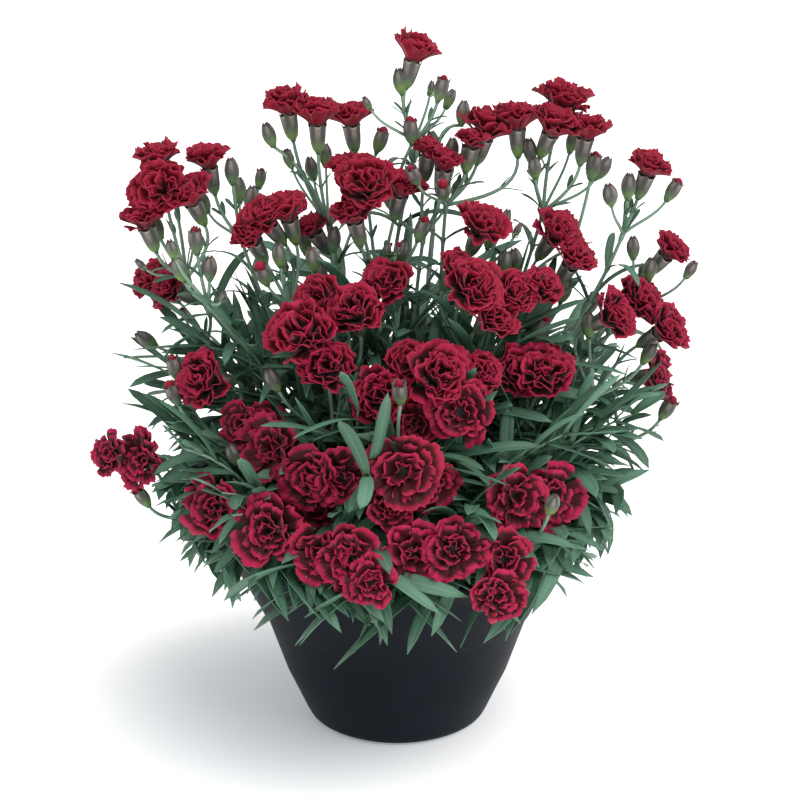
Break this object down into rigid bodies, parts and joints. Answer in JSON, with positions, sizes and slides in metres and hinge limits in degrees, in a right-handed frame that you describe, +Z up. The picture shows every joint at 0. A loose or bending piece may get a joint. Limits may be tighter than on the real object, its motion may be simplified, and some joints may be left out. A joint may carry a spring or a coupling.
{
  "type": "potted dianthus",
  "caption": "Dianthus in full bloom: double dark red pinks on slender leafy stems in a flared black nursery pot.",
  "frame": {"origin": "middle of the pot's flat underside, on the surface that the pot stands on", "axes": "+Z up along the pot's axis; -Y is the side that the picture is taken from"},
  "size_m": [0.4443, 0.3312, 0.5188],
  "materials": {
    "pot": "matte black moulded plastic",
    "soil": "coarse damp compost",
    "petals": "velvety petals",
    "leaves": "waxy grey-green leaves and stems"
  },
  "bodies": {
    "root": {"blooms_back_1": "petals", "blooms_back_2": "petals", "blooms_back_3": "petals", "blooms_centre_1": "petals", "blooms_centre_2": "petals", "blooms_front_left_1": "petals", "blooms_front_left_2": "petals", "blooms_front_middle_1": "petals", "blooms_front_middle_2": "petals", "blooms_front_right_1": "petals", "blooms_front_right_2": "petals", "blooms_left_back_1": "petals", "blooms_left_edge_1": "petals", "blooms_left_edge_2": "petals", "blooms_left_high_1": "petals", "blooms_left_high_2": "petals", "blooms_left_low_1": "petals", "blooms_left_low_2": "petals", "blooms_left_middle_1": "petals", "blooms_left_middle_2": "petals", "blooms_middle_1": "petals", "blooms_middle_2": "petals", "blooms_middle_front_1": "petals", "blooms_middle_left_1": "petals", "blooms_right_front_1": "petals", "blooms_right_front_2": "petals", "blooms_right_high_1": "petals", "blooms_right_low_1": "petals", "blooms_right_low_2": "petals", "blooms_right_side_1": "petals", "blooms_right_side_2": "petals", "blooms_upper_left_1": "petals", "blooms_upper_left_2": "petals", "blooms_upper_right_1": "petals", "blooms_upper_right_2": "petals", "pot": "pot", "soil": "soil", "stems_back": "leaves", "stems_centre": "leaves", "stems_front_left": "leaves", "stems_front_middle": "leaves", "stems_front_right": "leaves", "stems_left_back": "leaves", "stems_left_edge": "leaves", "stems_left_high": "leaves", "stems_left_low": "leaves", "stems_left_middle": "leaves", "stems_middle": "leaves", "stems_middle_front": "leaves", "stems_middle_left": "leaves", "stems_right_front": "leaves", "stems_right_high": "leaves", "stems_right_low": "leaves", "stems_right_side": "leaves", "stems_upper_left": "leaves", "stems_upper_right": "leaves"}
  },
  "joints": []
}
